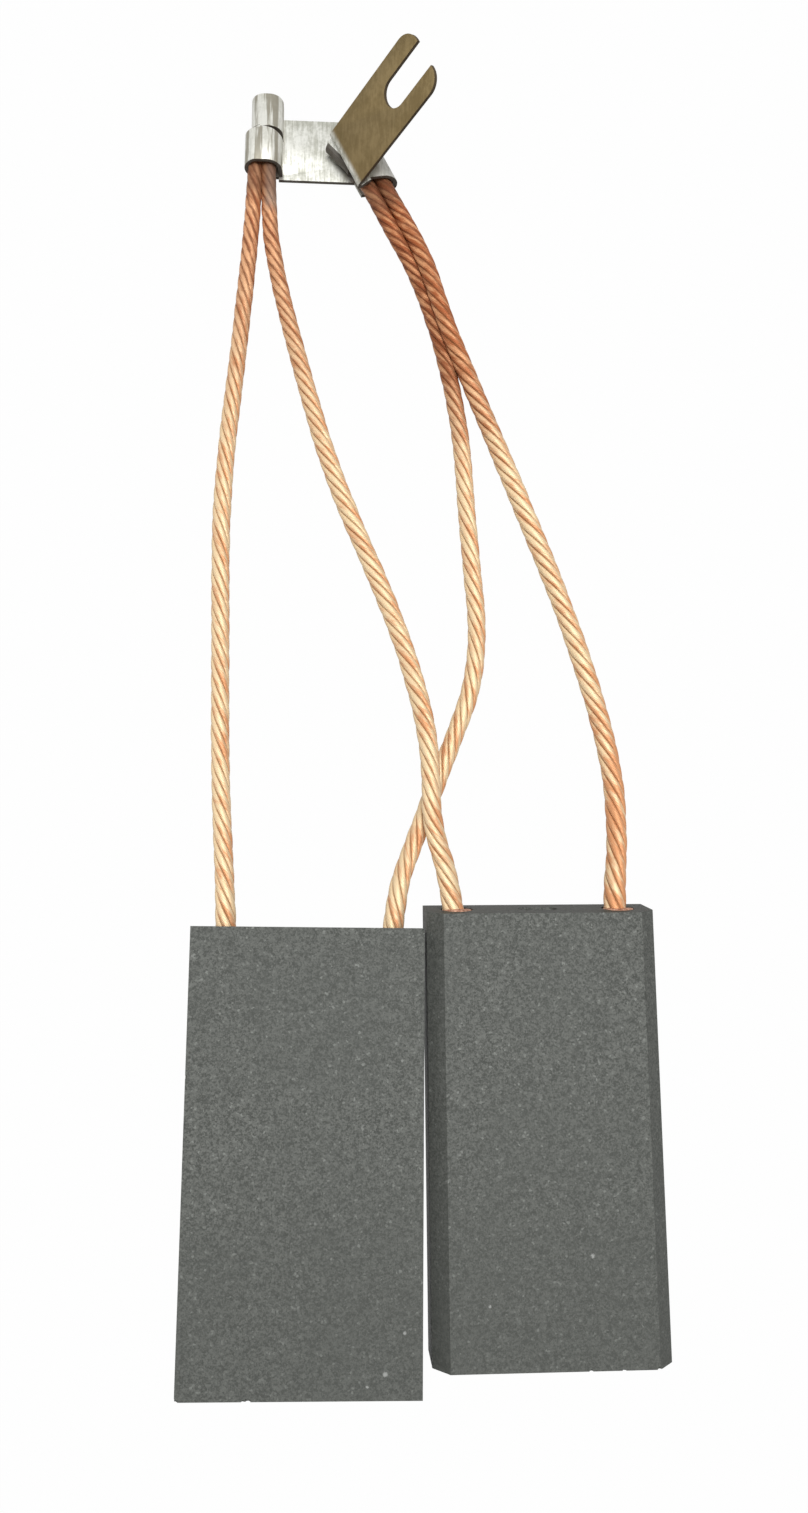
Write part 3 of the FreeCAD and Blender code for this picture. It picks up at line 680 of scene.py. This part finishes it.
def make_wafer(name, place, chips):
    """A blank that is chamfered, cut aslant at its head, drilled and chipped, in its place."""
    deselect_all()
    bpy.ops.mesh.primitive_cube_add(size=1, location=metres((0.0, BLANK_MIDDLE, WAFER_THICKNESS / 2)),
                                    scale=metres((WAFER_WIDTH, BLANK_LENGTH, WAFER_THICKNESS)))
    wafer = bpy.context.object
    wafer.name = wafer.data.name = name
    settle(wafer)
    bpy.ops.object.mode_set(mode="EDIT")
    select_long_top_edges(wafer)
    bpy.ops.mesh.bevel(offset=CHAMFER * MM, offset_type="OFFSET", segments=1, affect="EDGES")
    bpy.ops.mesh.select_all(action="SELECT")
    bpy.ops.mesh.bisect(plane_co=(0.0, HEAD_CUT * MM, 0.0),
                        plane_no=(0.0, math.cos(HEAD_SLANT), math.sin(HEAD_SLANT)),
                        use_fill=True, clear_outer=True)
    bpy.ops.object.mode_set(mode="OBJECT")
    for across in (-HOLE_ACROSS, HOLE_ACROSS):
        cut_away(wafer, head_cutter(across, HOLE_RADIUS, HOLE_DEPTH))
    cut_away(wafer, head_cutter(0.0, RECESS_RADIUS, RECESS_DEPTH, stretch=RECESS_STRETCH))
    for seed, (where, size) in enumerate(chips):
        cut_away(wafer, chip(where, size, seed))
    soften_edges(wafer, WAFER_EDGE, 25)
    smooth_below(30)
    for face in wafer.data.polygons:
        face.use_smooth = face.area < SMALL_FACE * MM * MM
    settle(wafer, place)
    mark_faces(wafer, "sawn", side_shade_mark)
    return wafer


# Plugs

PLUG_RADIUS, PLUG_START = 2.27, 24
# How large each ring is beside the one before it, and how far it rises.
PLUG_RINGS = [(1.0, 5.45), (0.96, 0.12), (0.88, 0.10), (0.84, 0.04), (0.82, -0.10), (0.93, -0.35)]
LIP_HEIGHT, LIP_ROUGHNESS, LIP_GRAIN = 4.8, 0.12, 900


def make_plug(name, place, across):
    """A ring of copper powder round the shunt, tamped flush with a grainy lip."""
    deselect_all()
    bpy.ops.mesh.primitive_circle_add(vertices=64, radius=PLUG_RADIUS * MM, fill_type="NOTHING")
    plug = bpy.context.object
    plug.name = plug.data.name = name
    bpy.ops.object.mode_set(mode="EDIT")
    for grow, rise in PLUG_RINGS:
        bpy.ops.mesh.extrude_region_move(TRANSFORM_OT_translate={"value": (0.0, 0.0, rise * MM)})
        bpy.ops.transform.resize(value=(grow, grow, 1.0), center_override=(0.0, 0.0, 0.0))
    bpy.ops.object.mode_set(mode="OBJECT")
    finish_modifier(plug, "SUBSURF", levels=1, render_levels=1)
    for vertex in plug.data.vertices:
        if vertex.co.z > LIP_HEIGHT * MM:
            rough = noise.noise(vertex.co * LIP_GRAIN + Vector((across, 0.0, 0.0)))
            vertex.co += Vector((0.0, 0.0, LIP_ROUGHNESS * MM * rough))
    smooth_below(60)
    lean = (Matrix.Translation(metres((across, PLUG_START, WAFER_THICKNESS / 2)))
            @ Matrix.Rotation(-math.pi / 2, 4, "X"))
    settle(plug, place @ lean)
    return plug


# Terminal

FORK_FACING = Vector((-0.682, -0.356, 0.639))
MOUTH_FACING = Vector((0.463, -0.886, 0.0))
# The sheet is the fork above this height, and the plate and the left barrel left of this place.
FORK_HEIGHT, PLATE_END = 5.0, 2.5
# The lower left barrel is pressed in on its outer side, up to its shoulder.
PRESSED_BY, PRESSED_FROM, PRESSED_OVER = 0.42, -10.2, 2.0
SHOULDER, SHOULDER_LENGTH = 153.8, 0.9
SHEET_EDGE = 0.09


def cut_and_shade_mark(face):
    """One on cut faces, which are painted dark partly as bare edges and partly as painted shade; less, as
    painted shade, on the folded side that is tucked beside the plate and on its roof.
    """
    middle, facing = face.center / MM, face.normal
    if middle.z > FORK_HEIGHT:
        is_cut = abs(facing.dot(FORK_FACING)) < 0.4
    elif middle.x < PLATE_END:
        is_cut = abs(facing.y) > 0.6
    else:
        is_cut = abs(facing.dot(MOUTH_FACING)) > 0.6
    beside_plate = -1.0 < middle.x < 6.5 and facing.x < -0.2
    # Painted shade: the folded side tucked beside the plate, and less of it on its roof.
    tucked = beside_plate and facing.y < 0.0 and 0.8 < middle.z < 3.4
    roof = beside_plate and facing.z > 0.85 and 3.9 < middle.z < 4.7
    return max(float(is_cut), 0.9 * tucked, 0.3 * roof)


def make_terminal():
    """The folded sheet with the soft edges of a stamping, its cut faces and its painted shade on the tucked
    side and roof marked for the finish.
    """
    piece = link("terminal_sheet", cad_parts["terminal"].data.copy())
    only(piece)
    bpy.ops.object.mode_set(mode="EDIT")
    bpy.ops.mesh.select_all(action="SELECT")
    bpy.ops.mesh.remove_doubles(threshold=0.002 * MM)
    bpy.ops.mesh.dissolve_limited(angle_limit=math.radians(1.0))
    bpy.ops.object.mode_set(mode="OBJECT")
    for vertex in piece.data.vertices:
        x, y, _ = vertex.co / MM
        outer = clamp((PRESSED_FROM - x) / PRESSED_OVER)
        vertex.co.x += PRESSED_BY * MM * outer * clamp((SHOULDER - y) / SHOULDER_LENGTH)
    soften_edges(piece, SHEET_EDGE, 35)
    smooth_below(35)
    mark_faces(piece, "cut", cut_and_shade_mark)
    return piece


# Floor and light

FLOOR_SIZE, FLOOR_DROP = 6000, 0.1
FLOOR_GREY = (0.42, 0.42, 0.42)
# What the floor shows of plain white, and how bright the sky is as a light.
FLOOR_WHITE, SKY_LIGHT = 0.985, 0.13
# Each lamp's place, width and watts.
LAMPS = {"window": ((60, 120, 740), 450, 5.0), "side": ((-600, 120, 340), 500, 0.55)}
BRUSH_MIDDLE = (15, 60, 0)


def make_floor():
    deselect_all()
    bpy.ops.mesh.primitive_plane_add(size=FLOOR_SIZE * MM, location=(0.0, 0.0, -FLOOR_DROP * MM))
    floor = bpy.context.object
    floor.name = "floor"
    paint = Paint("white_table", Roughness=0.9, Specular_IOR_Level=0.1)
    paint.shine("Base Color", FLOOR_GREY)
    lit = Term(paint, paint.shader.outputs[0])
    glow = paint.node("ShaderNodeEmission", None, WHITE, 1.0)
    mixed = paint.node("ShaderNodeMixShader", None, paint.rays() * FLOOR_WHITE, lit, glow)
    output = next(n for n in paint.tree.nodes if n.type == "OUTPUT_MATERIAL")
    paint.feed(output.inputs["Surface"], mixed)
    floor.data.materials.append(paint.material)


def add_light(name, place, width, watts):
    """A square lamp that points at the middle of the brush."""
    bpy.ops.object.light_add(type="AREA", location=metres(place))
    lamp = bpy.context.object
    lamp.name = name
    lamp.data.size = width * MM
    lamp.data.energy = watts
    lamp.rotation_euler = (Vector(BRUSH_MIDDLE) - Vector(place)).to_track_quat("-Z", "Y").to_euler()


def light_the_set():
    world = bpy.data.worlds.new("studio")
    world.use_nodes = True
    sky = Nodes(world.node_tree)
    background = next(n for n in sky.tree.nodes if n.type == "BACKGROUND")
    sky.feed(background.inputs["Color"], WHITE)
    sky.feed(background.inputs["Strength"], sky.rays() * (1 - SKY_LIGHT) + SKY_LIGHT)
    bpy.context.scene.world = world
    for name, lamp in LAMPS.items():
        add_light(name, *lamp)


# The brush

add_camera()

strands = copper_strands()
for seed, (name, route) in enumerate(SHUNTS.items()):
    rope, line, length = make_shunt(name + "_rope", route, OPEN_RADIUS[name], seed)
    dress(rope, strands, name)
    metres(route[1])

carbon = graphite()
for name, place, chips in (("left_wafer", LEFT_PLACE, LEFT_CHIPS), ("right_wafer", RIGHT_PLACE, RIGHT_CHIPS)):
    dress(make_wafer(name + "_block", place, chips), carbon, name)

# The left wafer lies turned over, so its outer hole is on the unplaced wafer's right.
powder = copper_powder()
for name, place, across in (("plug_outer_left", LEFT_PLACE, HOLE_ACROSS),
                            ("plug_inner_left", LEFT_PLACE, -HOLE_ACROSS),
                            ("plug_crossing", RIGHT_PLACE, -HOLE_ACROSS),
                            ("plug_outer_right", RIGHT_PLACE, HOLE_ACROSS)):
    dress(make_plug(name + "_powder", place, across), powder, name)

dress(make_terminal(), tinned_sheet(), "terminal")
pressed = cut_wires()
for name in ("left_crimped_ends", "right_crimped_ends"):
    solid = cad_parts[name]
    solid.data.materials.clear()
    solid.data.materials.append(pressed)

make_floor()
light_the_set()
bpy.context.scene.view_settings.view_transform = "Standard"
